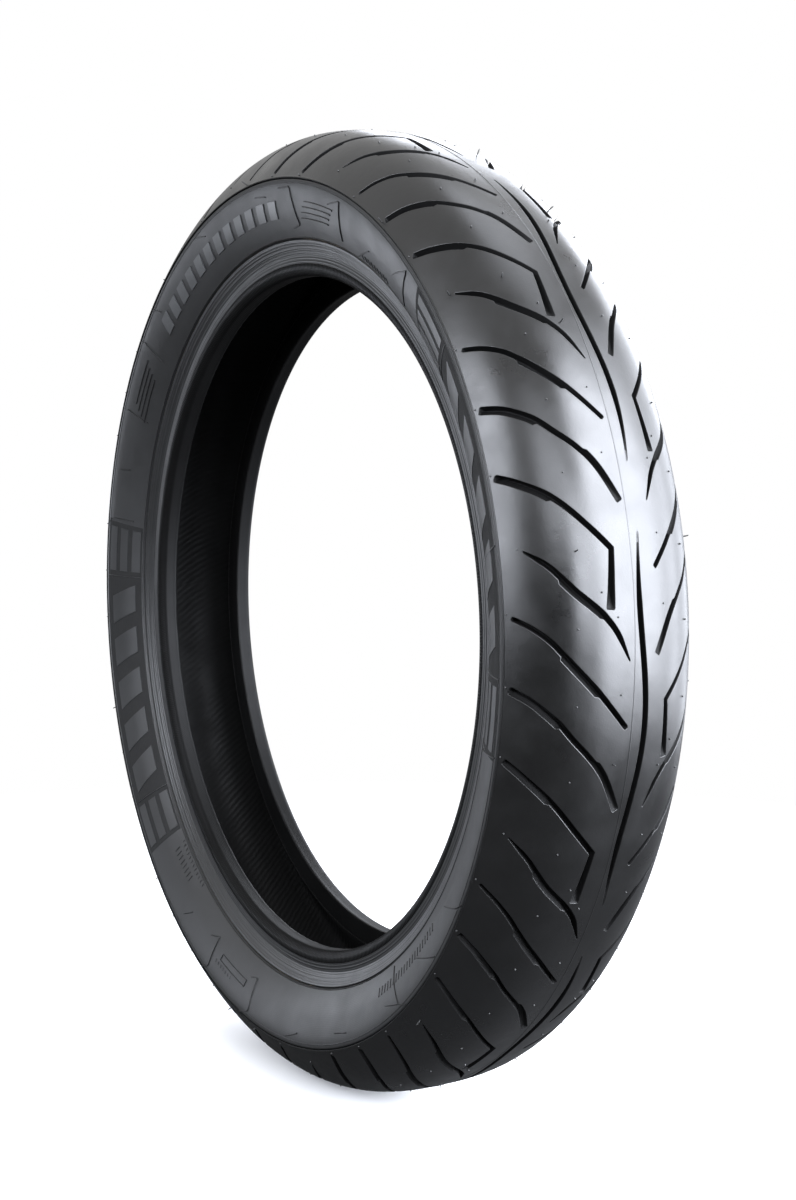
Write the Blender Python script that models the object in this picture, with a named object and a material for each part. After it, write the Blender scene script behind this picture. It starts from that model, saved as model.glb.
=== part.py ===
"""Motorcycle tyre, 120/80-18, tubeless bias-ply construction, built up layer by layer.

Frame: origin at the tyre's centre, Y along the axle, +Z up, +X forward.
Section outlines are lists of (y, r) in millimetres, turned about the Y axis.
"""
import math

import bmesh
import bpy
import numpy as np

MM = 0.001

# Driving dimensions, in millimetres
CROWN_RADIUS = 324.6       # half of 457.2 + 2 x 96
SHOULDER_Y = 62.6          # shoulder line, half of the widest place
SHOULDER_RADIUS = 290.6
CROWN_POWER = 3.23         # how late the crown curve falls away
RIM_LINE = (45.4, 251.9)   # moulded line just above the rim flange
FLANGE_TOP = (40.0, 243.0)  # top of the flat face that meets the rim flange
BEAD_FACE_Y = 40.0
BEAD_TOE_Y = 27.0
BEAD_BASE_RADIUS = 228.9
CAP_THICKNESS = 6.8
BASE_THICKNESS = 1.4
PLY = 0.9                  # one rubbered cord ply
SKIN = 1.0                 # liner and chafer
GAP = 0.3                  # between neighbours
GROOVE_DEPTH = 4.6
SEGMENTS = 24              # flats around every ring
PITCHES = 48               # shoulder grooves on each side
WAVES = 8                  # wavy grooves around the middle
PATTERN_CENTRE = 5.4       # arc length from the mould's parting line to the pattern's middle

# Ring corners stand half a sagitta outside the true circle, flats half inside
CORNER_SCALE = 2 / (1 + math.cos(math.pi / SEGMENTS))

# Offsets of the layers from the middle line between the two carcass plies
HALF_GAP = GAP / 2
PLY_FACE = HALF_GAP + PLY
BREAKER_INNER = PLY_FACE + GAP
BREAKER_OUTER = BREAKER_INNER + PLY + GAP
BASE_INNER = BREAKER_OUTER + PLY + GAP
CAP_INNER = BASE_INNER + BASE_THICKNESS + GAP
CARCASS_DEPTH = CAP_THICKNESS + CAP_INNER

# Bead core, with its heel corner cut off so that the layers round it turn gently
CORE_OFFSET = PLY_FACE + GAP + 0.5 + GAP      # from the middle line to the core
WRAP_THICKNESS = 0.5
CORE_IN_Y = BEAD_TOE_Y + SKIN + GAP + PLY_FACE + CORE_OFFSET
CORE_OUT_Y = BEAD_FACE_Y - SKIN - GAP - PLY_FACE - CORE_OFFSET
CORE_BOTTOM = BEAD_BASE_RADIUS + SKIN + GAP + PLY_FACE + CORE_OFFSET
CORE_TOP = CORE_BOTTOM + 5.0
CORE_CHAMFER = (1.6, 2.3)

# Middle line of the carcass: crown, sidewall, inside of the bead, round it and up again
CARCASS_CROWN_Y = [10.0, 29.0, 44.2, 54.5]     # where the crown's normals are taken
CARCASS_SHOULDER = (55.0, 281.0)
CARCASS_WALL = [(50.6, 268.5), (39.6, 255.3)]
TURN_UP_END = (43.0, 252.4)

# Outside of the sidewall, from the tread cap's foot to the rim line
CAP_END = (62.3, 288.4)
WALL_BULGE = [(60.6, 281.0), (54.9, 267.5), (50.3, 259.5)]
WEDGE_TIP = 1.6            # thickness of the shoulder wedge where it runs out
BREAKER_STEP = 6.0         # length of the outer breaker's last, shorter, stretch
WALL_FOOT = 0.9            # how far the sidewall reaches down past the turn-up's end

RUBBER_BLACK = (0.030, 0.031, 0.032, 1.0)
COLOURS = {
    "tread_rubber": (RUBBER_BLACK, 0.42, 0.0),
    "base_rubber": ((0.045, 0.044, 0.043, 1.0), 0.6, 0.0),
    "sidewall_rubber": ((0.040, 0.041, 0.043, 1.0), 0.5, 0.0),
    "bead_rubber": ((0.035, 0.035, 0.036, 1.0), 0.45, 0.0),
    "liner_rubber": ((0.022, 0.022, 0.023, 1.0), 0.6, 0.0),
    "cord_ply": ((0.33, 0.25, 0.17, 1.0), 0.8, 0.0),
    "breaker_ply": ((0.42, 0.34, 0.22, 1.0), 0.8, 0.0),
    "chafer_fabric": ((0.06, 0.055, 0.05, 1.0), 0.8, 0.0),
    "bead_wire": ((0.62, 0.47, 0.28, 1.0), 0.35, 1.0),
    "wrap_fabric": ((0.36, 0.33, 0.28, 1.0), 0.85, 0.0),
}


def clear_scene():
    for obj in list(bpy.data.objects):
        bpy.data.objects.remove(obj, do_unlink=True)


def material(name):
    colour, roughness, metallic = COLOURS[name]
    mat = bpy.data.materials.get(name) or bpy.data.materials.new(name)
    mat.use_nodes = True
    shader = mat.node_tree.nodes["Principled BSDF"]
    shader.inputs["Base Color"].default_value = colour
    shader.inputs["Roughness"].default_value = roughness
    shader.inputs["Metallic"].default_value = metallic
    return mat


def add_object(name, bm, slot):
    bmesh.ops.recalc_face_normals(bm, faces=bm.faces)
    mesh = bpy.data.meshes.new(name)
    bm.to_mesh(mesh)
    bm.free()
    mesh.materials.append(material(slot))
    mesh.shade_smooth()
    mesh.set_sharp_from_angle(angle=math.radians(30))
    obj = bpy.data.objects.new(name, mesh)
    bpy.context.scene.collection.objects.link(obj)
    return obj


def direction(a, b):
    length = math.hypot(b[0] - a[0], b[1] - a[1])
    return ((b[0] - a[0]) / length, (b[1] - a[1]) / length)


def left_normal(a, b):
    step = direction(a, b)
    return (-step[1], step[0])


def offset(path, distance):
    """The path moved sideways by a distance, to the left of its direction, with mitred corners."""
    moved = []
    for i, point in enumerate(path):
        before = left_normal(path[i - 1], point) if i else None
        after = left_normal(point, path[i + 1]) if i + 1 < len(path) else None
        a = before or after
        b = after or before
        scale = distance / (1 + a[0] * b[0] + a[1] * b[1])
        moved.append((point[0] + (a[0] + b[0]) * scale, point[1] + (a[1] + b[1]) * scale))
    return moved


def along(a, b, distance):
    step = direction(a, b)
    return (a[0] + step[0] * distance, a[1] + step[1] * distance)


def mirrored(outline):
    return [(-y, r) for y, r in reversed(outline)]


def strip(path, low, high):
    """A layer between two offsets of one path."""
    return offset(path, low) + offset(path, high)[::-1]


def full_width(half_path):
    """A path from one side's end over the crown to the other side's end."""
    return mirrored(half_path) + half_path


def ring(name, outline, slot):
    """A closed outline turned about the Y axis, with a flat centred on each axis."""
    bm = bmesh.new()
    loops = []
    for i in range(SEGMENTS):
        angle = 2 * math.pi * (i + 0.5) / SEGMENTS
        cos, sin = math.cos(angle), math.sin(angle)
        corner = [(y * MM, r * CORNER_SCALE * MM) for y, r in outline]
        loops.append([bm.verts.new((r * cos, y, r * sin)) for y, r in corner])
    for i in range(SEGMENTS):
        here, there = loops[i], loops[(i + 1) % SEGMENTS]
        for j in range(len(outline)):
            k = (j + 1) % len(outline)
            bm.faces.new((here[j], here[k], there[k], there[j]))
    return add_object(name, bm, slot)


# ---------------------------------------------------------------- section lines

def crown_radius(y):
    drop = CROWN_RADIUS - SHOULDER_RADIUS
    return CROWN_RADIUS - drop * abs(y / SHOULDER_Y) ** CROWN_POWER


CROWN_Y = np.linspace(0, SHOULDER_Y, 300)
CROWN_ARC = np.concatenate(
    [[0], np.cumsum(np.hypot(np.diff(CROWN_Y), np.diff(crown_radius(CROWN_Y))))])
HALF_ARC = float(CROWN_ARC[-1])


def crown_point(arc, depth):
    """(y, r) at an arc length from the parting line, a depth below the surface."""
    y = math.copysign(float(np.interp(abs(arc), CROWN_ARC, CROWN_Y)), arc)
    slope = (crown_radius(y + 0.01) - crown_radius(y - 0.01)) / 0.02
    size = math.hypot(slope, 1)
    return (y + depth * slope / size, crown_radius(y) - depth / size)


def carcass_lines():
    """Crown-to-bead path, and the path round the bead, on the +Y side."""
    surface = [(y, crown_radius(y)) for y in CARCASS_CROWN_Y]
    crown = [(CARCASS_CROWN_Y[0], CROWN_RADIUS - CARCASS_DEPTH)] + offset(surface, -CARCASS_DEPTH)[1:]
    core = core_outline()
    wrap = offset([core[4], core[0], core[1], core[2], core[3]], -CORE_OFFSET)
    bead_in = (wrap[0][0], FLANGE_TOP[1] + 2 * GAP)
    flange = offset([(BEAD_FACE_Y, BEAD_BASE_RADIUS), FLANGE_TOP, RIM_LINE], SKIN + GAP + PLY_FACE)
    down = crown + [CARCASS_SHOULDER] + CARCASS_WALL + [bead_in]
    under = [bead_in, wrap[1], wrap[2], wrap[3], flange[1], TURN_UP_END]
    return down, under


def core_outline():
    """Bead core corners, from the inner bottom round to the inner top."""
    return [
        (CORE_IN_Y, CORE_BOTTOM),
        (CORE_OUT_Y - CORE_CHAMFER[0], CORE_BOTTOM),
        (CORE_OUT_Y, CORE_BOTTOM + CORE_CHAMFER[1]),
        (CORE_OUT_Y, CORE_TOP),
        (CORE_IN_Y, CORE_TOP),
    ]


DOWN, UNDER = carcass_lines()
CARCASS_PATH = DOWN + UNDER[1:]
CROWN_COUNT = len(CARCASS_CROWN_Y)
CROWN_PATH = DOWN[:CROWN_COUNT]


def down_line(distance):
    """Offset of the carcass line from the crown to the inside of the bead."""
    return offset(CARCASS_PATH, distance)[:len(DOWN)]


def under_line(distance):
    """Offset of the carcass line from the inside of the bead, round it, to the turn-up's end."""
    return offset(CARCASS_PATH, distance)[len(DOWN) - 1:]


# ---------------------------------------------------------------- layers

def build_plies():
    path = full_width(CARCASS_PATH)
    ring("carcass_ply_outer", strip(path, HALF_GAP, PLY_FACE), "cord_ply")
    ring("carcass_ply_inner", strip(path, -PLY_FACE, -HALF_GAP), "cord_ply")


def build_liner():
    inside = full_width(down_line(-PLY_FACE - GAP - SKIN))
    outside = full_width(down_line(-PLY_FACE - GAP))
    ring("inner_liner", inside + outside[::-1], "liner_rubber")


def build_breakers():
    inner = full_width(CROWN_PATH)
    short_end = along(CROWN_PATH[-2], CROWN_PATH[-1], BREAKER_STEP)
    outer = full_width(CROWN_PATH[:-1] + [short_end])
    ring("breaker_ply_inner", strip(inner, BREAKER_INNER, BREAKER_INNER + PLY), "breaker_ply")
    ring("breaker_ply_outer", strip(outer, BREAKER_OUTER, BREAKER_OUTER + PLY), "breaker_ply")
    ring("tread_base", strip(inner, BASE_INNER, BASE_INNER + BASE_THICKNESS), "base_rubber")


def shoulder_faces():
    """Where the cap, the shoulder wedge and the sidewall meet, on the +Y side."""
    shoulder = down_line(PLY_FACE + GAP)[CROWN_COUNT]
    wedge_tip = along(shoulder, CAP_END, WEDGE_TIP)
    cap_foot = along(shoulder, CAP_END, WEDGE_TIP + GAP)
    return shoulder, wedge_tip, cap_foot


def build_wedges():
    shoulder, wedge_tip, _ = shoulder_faces()
    clear = 1.0                # from the ends of the breakers and the base
    low = along(down_line(PLY_FACE + GAP)[CROWN_COUNT - 1], shoulder, clear)
    high = along(down_line(CAP_INNER - GAP)[CROWN_COUNT - 1], wedge_tip, clear)
    outline = [low, high, wedge_tip, shoulder]
    ring("shoulder_wedge_left", outline, "base_rubber")
    ring("shoulder_wedge_right", mirrored(outline), "base_rubber")


def wall_outline():
    """Sidewall rubber from the shoulder joint to the rim line, on the +Y side."""
    shoulder, _, _ = shoulder_faces()
    joint = left_normal(CAP_END, shoulder)
    top_out = (CAP_END[0] + joint[0] * GAP, CAP_END[1] + joint[1] * GAP)
    top_in = (shoulder[0] + joint[0] * GAP, shoulder[1] + joint[1] * GAP)
    outer = [top_out] + WALL_BULGE + [(RIM_LINE[0], RIM_LINE[1] + GAP)]
    face = under_line(-PLY_FACE - GAP)
    foot = along(face[-1], face[-2], WALL_FOOT)
    turn_over = along(face[-1], face[-2], -GAP)
    wall = down_line(PLY_FACE + GAP)
    over_filler = along(wall[-2], wall[-3], 4 * GAP)
    return outer + [foot, turn_over, over_filler, wall[-3], top_in]


def build_sidewalls():
    outline = wall_outline()
    ring("sidewall_left", outline, "sidewall_rubber")
    ring("sidewall_right", mirrored(outline), "sidewall_rubber")


def build_bead(side, flip):
    def place(name, outline, slot):
        ring(name + "_" + side, mirrored(outline) if flip else outline, slot)

    core = core_outline()
    place("bead_core", core, "bead_wire")
    cradle = [core[4], core[0], core[1], core[2], core[3]]
    low = offset(cradle, -GAP)
    high = offset(cradle, -GAP - WRAP_THICKNESS)
    place("bead_wrap", low + high[::-1], "wrap_fabric")
    inside = down_line(PLY_FACE + GAP)
    outside = under_line(PLY_FACE + GAP)
    filler_base = CORE_TOP + GAP
    filler = [
        (high[0][0], filler_base),
        (high[4][0], filler_base),
        outside[4],
        along(outside[5], outside[4], 2 * GAP),
        inside[-2],
        inside[-1],
    ]
    place("bead_filler", filler, "base_rubber")
    around = under_line(-PLY_FACE - GAP)
    skin = under_line(-PLY_FACE - GAP - SKIN)
    heel_top = CORE_BOTTOM + CORE_CHAMFER[1] + 2 * GAP
    chafer_top = around[0][1] - 3 * GAP
    chafer = [
        (skin[1][0], chafer_top),
        skin[1], skin[2], skin[3],
        (BEAD_FACE_Y, heel_top),
        (around[3][0], heel_top),
        around[3], around[2], around[1],
        (around[1][0], chafer_top),
    ]
    place("chafer", chafer, "chafer_fabric")
    joint = along(around[-1], around[-2], WALL_FOOT + GAP)
    strip_outline = [
        (BEAD_FACE_Y, heel_top + GAP),
        FLANGE_TOP,
        RIM_LINE,
        joint,
        around[4],
        (around[3][0], heel_top + GAP),
    ]
    place("rim_strip", strip_outline, "bead_rubber")


# ---------------------------------------------------------------- grooved tread

# Path of a shoulder groove: arc length from the parting line, angle in degrees from its inner end
GROOVE_PATH = [(-4.5, 0.0), (-15.0, 2.4), (-25.0, 4.4), (-43.0, 7.7), (-60.0, 10.1), (-70.0, 11.2)]
# Rows across a shoulder groove: (arc length, width, share of the full depth)
GROOVE_ROWS = [(-4.5, 0.5, 0.0), (-20.0, 4.5, 1.0), (-47.0, 5.0, 1.0), (-73.0, 2.0, 0.0)]
WAVE_WIDTH = 3.6
WAVE_SWING = 2.6
WAVE_LENGTH = 26.0         # degrees
WAVE_REACH = 19.0          # degrees each side of a wavy groove's middle
WAVE_START = -7.0          # degrees, the middle of the first wavy groove
WAVE_TAPER = 6.0           # degrees over which its ends run out
WAVE_TIP = 0.3             # half width left at a run-out end, so that the mesh stays open
EDGE_MARGIN = 3.0          # plain surface between the last groove row and the shoulder line
NEAR_SHIFT = -6.7          # degrees, where a near-side groove's inner end lies
FAR_SHIFT = 0.5            # the same for a far-side groove


def path_angle(arc):
    arcs = [a for a, _ in GROOVE_PATH][::-1]
    angles = [t for _, t in GROOVE_PATH][::-1]
    return float(np.interp(arc, arcs, angles))


def shoulder_row(arc, width, depth_share, far):
    """One row of points across all shoulder grooves: left edge, bottom, right edge of each."""
    row = []
    place = 2 * PATTERN_CENTRE - arc if far else arc
    radius = crown_point(place, 0)[1]
    half = math.degrees(width / 2 / radius)
    shift = FAR_SHIFT if far else NEAR_SHIFT
    for k in range(PITCHES):
        middle = 360 * k / PITCHES + shift + path_angle(arc)
        for side, depth in ((-1, 0), (0, GROOVE_DEPTH * depth_share), (1, 0)):
            row.append((middle + side * half, crown_point(place, depth)))
    return row


def wave_row(side):
    """One row along the wavy middle grooves: side -1 and 1 are the edges, 0 the bottom."""
    row = []
    step = 360 / PITCHES
    spacing = 360 / WAVES
    for k in range(PITCHES):
        for third in (-1, 0, 1):
            angle = k * step + NEAR_SHIFT + third * step / 3
            number = round((angle - WAVE_START) / spacing)
            from_middle = angle - WAVE_START - number * spacing
            sign = 1 if number % 2 == 0 else -1
            open_share = min(1.0, max(0.0, (WAVE_REACH - abs(from_middle)) / WAVE_TAPER))
            swing = WAVE_SWING * sign * math.cos(math.radians(360 / WAVE_LENGTH * from_middle))
            arc = PATTERN_CENTRE + swing + side * (WAVE_TIP + WAVE_WIDTH / 2 * open_share)
            depth = GROOVE_DEPTH * open_share if side == 0 else 0
            row.append((angle, crown_point(arc, depth)))
    return row


def plain_row(point, like):
    return [(angle, point) for angle, _ in like]


def tread_rows():
    near = [shoulder_row(arc, width, share, False) for arc, width, share in GROOVE_ROWS]
    last = 2 * PATTERN_CENTRE - HALF_ARC + EDGE_MARGIN
    far = [shoulder_row(max(arc, last), width, share, True) for arc, width, share in GROOVE_ROWS]
    edge = crown_point(HALF_ARC, 0)
    rows = [plain_row((-edge[0], edge[1]), near[-1])]
    rows += near[::-1]
    rows += [wave_row(-1), wave_row(0), wave_row(1)]
    rows += far
    rows += [plain_row(edge, far[-1])]
    return rows


def rows_in_step(bm, rows):
    """Vertices of every row, kept in column order."""
    made = []
    for row in rows:
        loop = []
        for angle, (y, r) in row:
            turn = math.radians(angle)
            loop.append(bm.verts.new((r * math.cos(turn) * MM, y * MM, r * math.sin(turn) * MM)))
        made.append(loop)
    return made


def zip_loops(bm, loop_a, loop_b):
    """Triangles between two closed loops with different counts, matched by angle."""
    def turn(vert):
        return math.atan2(vert.co.z, vert.co.x) % (2 * math.pi)

    a = sorted(loop_a, key=turn)
    b = sorted(loop_b, key=turn)
    i = j = 0
    while i < len(a) or j < len(b):
        next_a = turn(a[i]) if i < len(a) else math.inf
        next_b = turn(b[j]) if j < len(b) else math.inf
        last_a, last_b = a[i - 1], b[j - 1]
        if next_a <= next_b:
            bm.faces.new((last_a, a[i], last_b))
            i += 1
        else:
            bm.faces.new((last_a, b[j], last_b))
            j += 1


def build_tread_cap():
    bm = bmesh.new()
    skin = rows_in_step(bm, tread_rows())
    for here, there in zip(skin, skin[1:]):
        for j in range(len(here)):
            k = (j + 1) % len(here)
            bm.faces.new((here[j], here[k], there[k], there[j]))
    _, _, foot = shoulder_faces()
    under = down_line(CAP_INNER)[:CROWN_COUNT] + [foot, CAP_END]
    section = full_width(under)
    inner = []
    for y, r in section:
        corner = r * CORNER_SCALE * MM
        loop = []
        for i in range(SEGMENTS):
            angle = 2 * math.pi * (i + 0.5) / SEGMENTS
            loop.append(bm.verts.new((corner * math.cos(angle), y * MM, corner * math.sin(angle))))
        inner.append(loop)
    for here, there in zip(inner, inner[1:]):
        for i in range(SEGMENTS):
            k = (i + 1) % SEGMENTS
            bm.faces.new((here[i], here[k], there[k], there[i]))
    zip_loops(bm, skin[0], inner[0])
    zip_loops(bm, skin[-1], inner[-1])
    bmesh.ops.triangulate(bm, faces=bm.faces)
    add_object("tread_cap", bm, "tread_rubber")


def main():
    clear_scene()
    build_tread_cap()
    build_breakers()
    build_wedges()
    build_plies()
    build_liner()
    build_sidewalls()
    build_bead("left", False)
    build_bead("right", True)


main()
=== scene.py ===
"""Looks of the motorcycle tyre: smooth grooved tread, moulded sidewalls, beads and liner.

Plan coordinates of the tread are (s, turn): arc length across the crown from the mould's parting
line in millimetres, and degrees round the axle from +X. Section outlines are (y, r) in millimetres.
"""
import math

import bmesh
import bpy
import numpy as np
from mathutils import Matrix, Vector
from mathutils.geometry import delaunay_2d_cdt


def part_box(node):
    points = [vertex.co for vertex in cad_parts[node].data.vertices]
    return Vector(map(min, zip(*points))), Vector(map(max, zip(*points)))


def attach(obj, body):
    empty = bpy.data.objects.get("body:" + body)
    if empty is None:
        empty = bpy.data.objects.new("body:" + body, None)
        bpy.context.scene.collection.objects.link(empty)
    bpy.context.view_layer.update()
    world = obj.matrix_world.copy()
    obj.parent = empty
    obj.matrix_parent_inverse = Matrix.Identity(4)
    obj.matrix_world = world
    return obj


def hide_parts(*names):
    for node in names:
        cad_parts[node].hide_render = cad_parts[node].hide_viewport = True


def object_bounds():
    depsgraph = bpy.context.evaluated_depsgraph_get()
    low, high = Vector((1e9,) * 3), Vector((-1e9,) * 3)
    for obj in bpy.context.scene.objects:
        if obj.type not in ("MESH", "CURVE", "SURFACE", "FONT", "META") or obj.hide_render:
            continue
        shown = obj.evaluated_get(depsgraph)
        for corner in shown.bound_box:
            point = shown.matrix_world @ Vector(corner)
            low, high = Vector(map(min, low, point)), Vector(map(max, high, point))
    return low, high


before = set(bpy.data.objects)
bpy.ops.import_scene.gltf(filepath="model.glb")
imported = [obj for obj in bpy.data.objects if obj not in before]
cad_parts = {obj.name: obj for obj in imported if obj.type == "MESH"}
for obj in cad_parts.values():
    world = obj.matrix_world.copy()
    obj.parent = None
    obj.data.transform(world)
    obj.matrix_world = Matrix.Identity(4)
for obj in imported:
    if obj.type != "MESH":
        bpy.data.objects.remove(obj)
CAD_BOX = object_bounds()

MM = 0.001
CROWN_RADIUS = (CAD_BOX[1].z - CAD_BOX[0].z) / 2 / MM
SHOULDER_Y = (CAD_BOX[1].y - CAD_BOX[0].y) / 2 / MM
BEAD_FACE_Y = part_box("chafer_left")[1].y / MM
BEAD_TOE_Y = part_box("chafer_left")[0].y / MM
SHOULDER_DROP = 34.0       # from the crown's radius to the shoulder line's
CROWN_POWER = 3.23
BEAD_BASE_RADIUS = 228.9
COLUMNS = 480              # round every turned piece

# ---------------------------------------------------------------- crown surface

MM_PER_DEGREE = math.radians(1) * CROWN_RADIUS


def crown_radius(y):
    return CROWN_RADIUS - SHOULDER_DROP * np.abs(y / SHOULDER_Y) ** CROWN_POWER


def running_length(line):
    """Length along a line up to each of its points."""
    steps = np.linalg.norm(np.diff(line, axis=0), axis=1)
    return np.concatenate([[0], np.cumsum(steps)])


def read_at(places, length, line):
    """Points of a line of two coordinates at given lengths along it."""
    return np.stack([np.interp(places, length, line[:, c]) for c in (0, 1)], -1)


CROWN_Y = np.linspace(0, SHOULDER_Y, 400)
CROWN_ARC = running_length(np.stack([CROWN_Y, crown_radius(CROWN_Y)], 1))
HALF_ARC = float(CROWN_ARC[-1])


def crown_normal(y):
    """Outward normal (ny, nr) of the crown."""
    slope = (crown_radius(y + 0.01) - crown_radius(y - 0.01)) / 0.02
    size = np.hypot(slope, 1)
    return -slope / size, 1 / size


def crown_frame(s):
    """y, r and the outward normal (ny, nr) at arc lengths s."""
    y = np.sign(s) * np.interp(np.abs(s), CROWN_ARC, CROWN_Y)
    return (y, crown_radius(y), *crown_normal(y))


def on_crown(plan):
    """World points and normals of an (n, 3) array of s, turn and depth below the surface."""
    s, turn, depth = plan[:, 0], np.radians(plan[:, 1]), plan[:, 2]
    y, r, ny, nr = crown_frame(s)
    y = y - depth * ny
    r = r - depth * nr
    points = np.stack([r * np.cos(turn), y, r * np.sin(turn)], 1) * MM
    normals = np.stack([nr * np.cos(turn), ny, nr * np.sin(turn)], 1)
    return points, normals


# ---------------------------------------------------------------- tread grooves

FULL_DEPTH = 5.0
EDGE = 0.45                # rounding outside a groove's outline
LEDGE_DEPTH = 2.6
# Depth of a groove's end rows against their distance from its end
END_ROWS = [(-EDGE, 0.0), (-0.12, 0.12), (0.05, 0.5), (0.6, 4.3), (1.1, FULL_DEPTH)]
END_REACH = END_ROWS[-1][0] + 0.4   # from a groove's end to its first plain row
STEP = 2.2                 # between rows along a groove
COLUMN_GAP = 0.05          # least distance between columns across a groove
END_ROUND = 0.86           # how much of a full round a groove's end takes
FULL_DEPTH_WIDTH = 2.4     # a narrower groove is shallower
LEAST_DEPTH = 0.08         # share of the full depth in the narrowest groove


def catmull(points, t):
    """Point at parameter t of a smooth curve through the points."""
    count = len(points)
    i = min(int(t), count - 2)
    x = t - i
    p = [points[min(max(j, 0), count - 1)] for j in (i - 1, i, i + 1, i + 2)]
    if i == 0:
        p[0] = 2 * points[0] - points[1]
    if i == count - 2:
        p[3] = 2 * points[-1] - points[-2]
    return 0.5 * (2 * p[1] + (p[2] - p[0]) * x + (2 * p[0] - 5 * p[1] + 4 * p[2] - p[3]) * x ** 2
                  + (3 * p[1] - p[0] - 3 * p[2] + p[3]) * x ** 3)


def dense_line(path, corner, stops):
    """Parameters and points along a path of (s, turn), smooth but for one corner."""
    points = [np.array((s, turn * MM_PER_DEGREE)) for s, turn in path]
    last = len(points) - 1
    runs = [(0, last)] if corner is None else [(0, corner), (corner, last)]
    params, line = [], []
    for first, end in runs:
        part = points[first:end + 1]
        ts = []
        for i in range(end - first):
            count = max(2, int(np.linalg.norm(part[i + 1] - part[i]) / STEP))
            ts += [i + j / count for j in range(count)]
        ts += [t - first for t in stops if first < t < end]
        ts = sorted(set(ts + [end - first]))
        for t in ts:
            if params and abs(t + first - params[-1]) < 1e-6:
                continue
            params.append(t + first)
            line.append(catmull(part, t))
    return np.array(params), np.array(line)


def sweep(path, table, corner=None, rounding=(1.2, 1.2)):
    """Grid of (s, turn, depth) for one groove, rows along it and columns across.

    table holds rows of (parameter, half width on the left, on the right, ledge width, depth).
    """
    stops = [row[0] for row in table]
    params, line = dense_line(path, corner, stops)
    keys = np.array(table, float)
    tangents = np.gradient(line, axis=0)
    stretch = np.ones(len(line))
    if corner is not None:
        k = int(np.argmin(np.abs(params - corner)))
        before, after = line[k] - line[k - 1], line[k + 1] - line[k]
        before /= np.linalg.norm(before)
        after /= np.linalg.norm(after)
        tangents[k] = before + after
        stretch[k] = 1 / math.sqrt((1 + float(before @ after)) / 2)
    tangents /= np.linalg.norm(tangents, axis=1)[:, None]
    length = running_length(line)
    total = length[-1]
    heads = [d for d, _ in END_ROWS]
    inside = [x for x in length if END_REACH < x < total - END_REACH]
    places = heads + inside + [total - d for d in heads[::-1]]
    rows = []
    for place in places:
        at = min(max(place, 0), total)
        centre = read_at(at, length, line)
        heading = read_at(at, length, tangents)
        heading /= np.linalg.norm(heading)
        centre = centre + heading * (place - at)
        t = np.interp(at, length, params)
        left, right, ledge, depth = (float(np.interp(t, keys[:, 0], column)) for column in keys[:, 1:].T)
        wide = float(np.interp(at, length, stretch))
        near_end = min(place, total - place)
        radius = rounding[0] if place < total / 2 else rounding[1]
        radius = min(radius, (left + right) / 2) + EDGE
        from_edge = near_end + EDGE
        if from_edge < radius:
            cut = radius - math.sqrt(max(0.0, radius ** 2 - (radius - from_edge) ** 2))
            left, right = left - cut * END_ROUND, right - cut * END_ROUND
        end_depth = float(np.interp(near_end, heads, [d for _, d in END_ROWS]))
        depth = depth * min(1.0, max(LEAST_DEPTH, (left + right) / FULL_DEPTH_WIDTH))
        rows.append(groove_row(centre, heading, left, right, ledge, depth, end_depth, wide))
    return rows


def spaced(sides, middle):
    """The columns' places across a groove, kept in order and apart where the groove is narrow."""
    count = len(sides)
    limits = [middle + ((count - 1) / 2 - j) * COLUMN_GAP for j in range(count)]
    kept = list(sides)
    for j in range(count // 2):
        before = kept[j - 1] if j else sides[0] + COLUMN_GAP
        kept[j] = max(min(kept[j], before - COLUMN_GAP), limits[j])
    for j in range(count - 1, count // 2 - 1, -1):
        after = kept[j + 1] if j + 1 < count else sides[-1] - COLUMN_GAP
        kept[j] = min(max(kept[j], after + COLUMN_GAP), limits[j])
    return kept


def groove_row(centre, heading, left, right, ledge, depth, end_depth, wide):
    """One row across a groove: (s, turn, depth) from its left edge to its right edge."""
    share = min(1.0, ledge / 1.2)
    low = min(LEDGE_DEPTH, depth * 0.6)
    across = [
        (left + EDGE, 0.0),
        (left + 0.12, 0.12),
        (left - 0.05, 0.5),
        (left - 0.55, depth - 0.6),
        (left - 1.0, depth),
        (-(right - ledge - 1.0), depth),
        (-(right - ledge - 0.5), depth - 0.6),
        (-(right - max(ledge, 0.3)), depth * 0.5 * (1 - share) + (low + 0.15) * share),
        (-(right - 0.18 - 0.37 * share), depth * 0.3 * (1 - share) + low * share),
        (-(right - 0.05), 0.5),
        (-(right + 0.12), 0.12),
        (-(right + EDGE), 0.0),
    ]
    sides = spaced([side for side, _ in across], (left - right) / 2)
    row = []
    for side, (_, deep) in zip(sides, across):
        spot = centre + np.array((-heading[1], heading[0])) * side * wide
        row.append((spot[0], spot[1] / MM_PER_DEGREE, max(0.0, min(deep, depth, end_depth))))
    return row


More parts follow.
